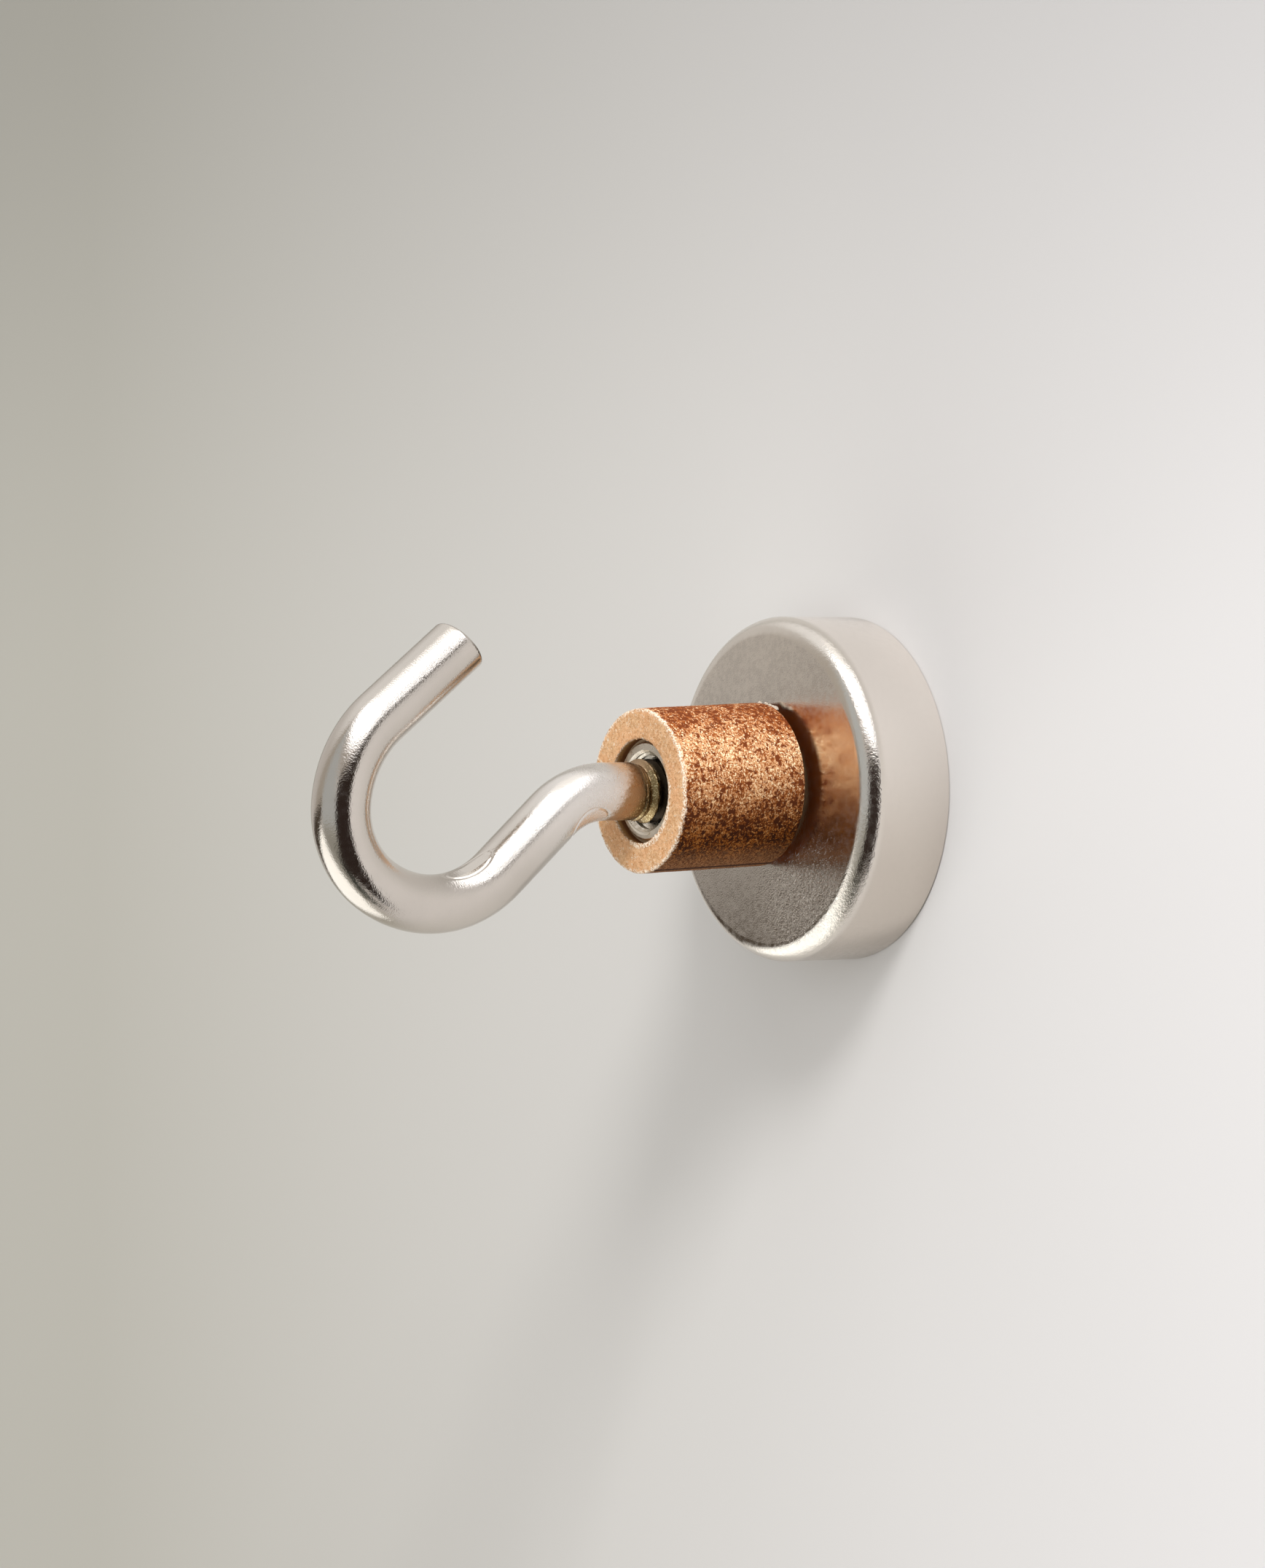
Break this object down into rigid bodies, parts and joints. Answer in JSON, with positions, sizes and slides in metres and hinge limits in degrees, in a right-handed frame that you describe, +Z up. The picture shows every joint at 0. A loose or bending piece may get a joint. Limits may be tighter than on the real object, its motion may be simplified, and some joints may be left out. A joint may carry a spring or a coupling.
{
  "type": "magnetic hook",
  "caption": "Round steel pot magnet with a fibrous sleeve over its threaded neck and a bent wire hook that screws in and swivels to any heading.",
  "frame": {"origin": "centre of the magnet's contact face, on the steel surface that it holds to", "axes": "+Y into the steel surface, along the axis of cup, sleeve and thread; +Z up; the hook opens upwards in the plane X = 0 and stands out towards -Y"},
  "size_m": [0.032, 0.0576, 0.032],
  "materials": {
    "cup_nickel": "satin nickel plate",
    "magnet_nickel": "nickel plate, lightly scuffed",
    "adhesive": "cured glue",
    "potting_resin": "cured resin",
    "bush_nickel": "nickel plate, turned",
    "sleeve_leather": "brown speckled side, raw tan fibrous ends",
    "glue": "cured glue",
    "hook_nickel": "satin nickel plate with a fine orange-peel grain"
  },
  "bodies": {
    "magnet_body": {"steel_cup": "cup_nickel", "magnet_disc": "magnet_nickel", "magnet_adhesive": "adhesive", "potting_ring": "potting_resin", "threaded_bush": "bush_nickel", "sleeve": "sleeve_leather", "sleeve_glue": "glue"},
    "hook_body": {"hook": "hook_nickel"}
  },
  "joints": [
    {"name": "hook_turn", "type": "hinge", "parent": "magnet_body", "child": "hook_body", "pos_m": [0, -0.02282, 0], "axis": [0, -1, 0], "range_deg": [-180, 180]}
  ]
}
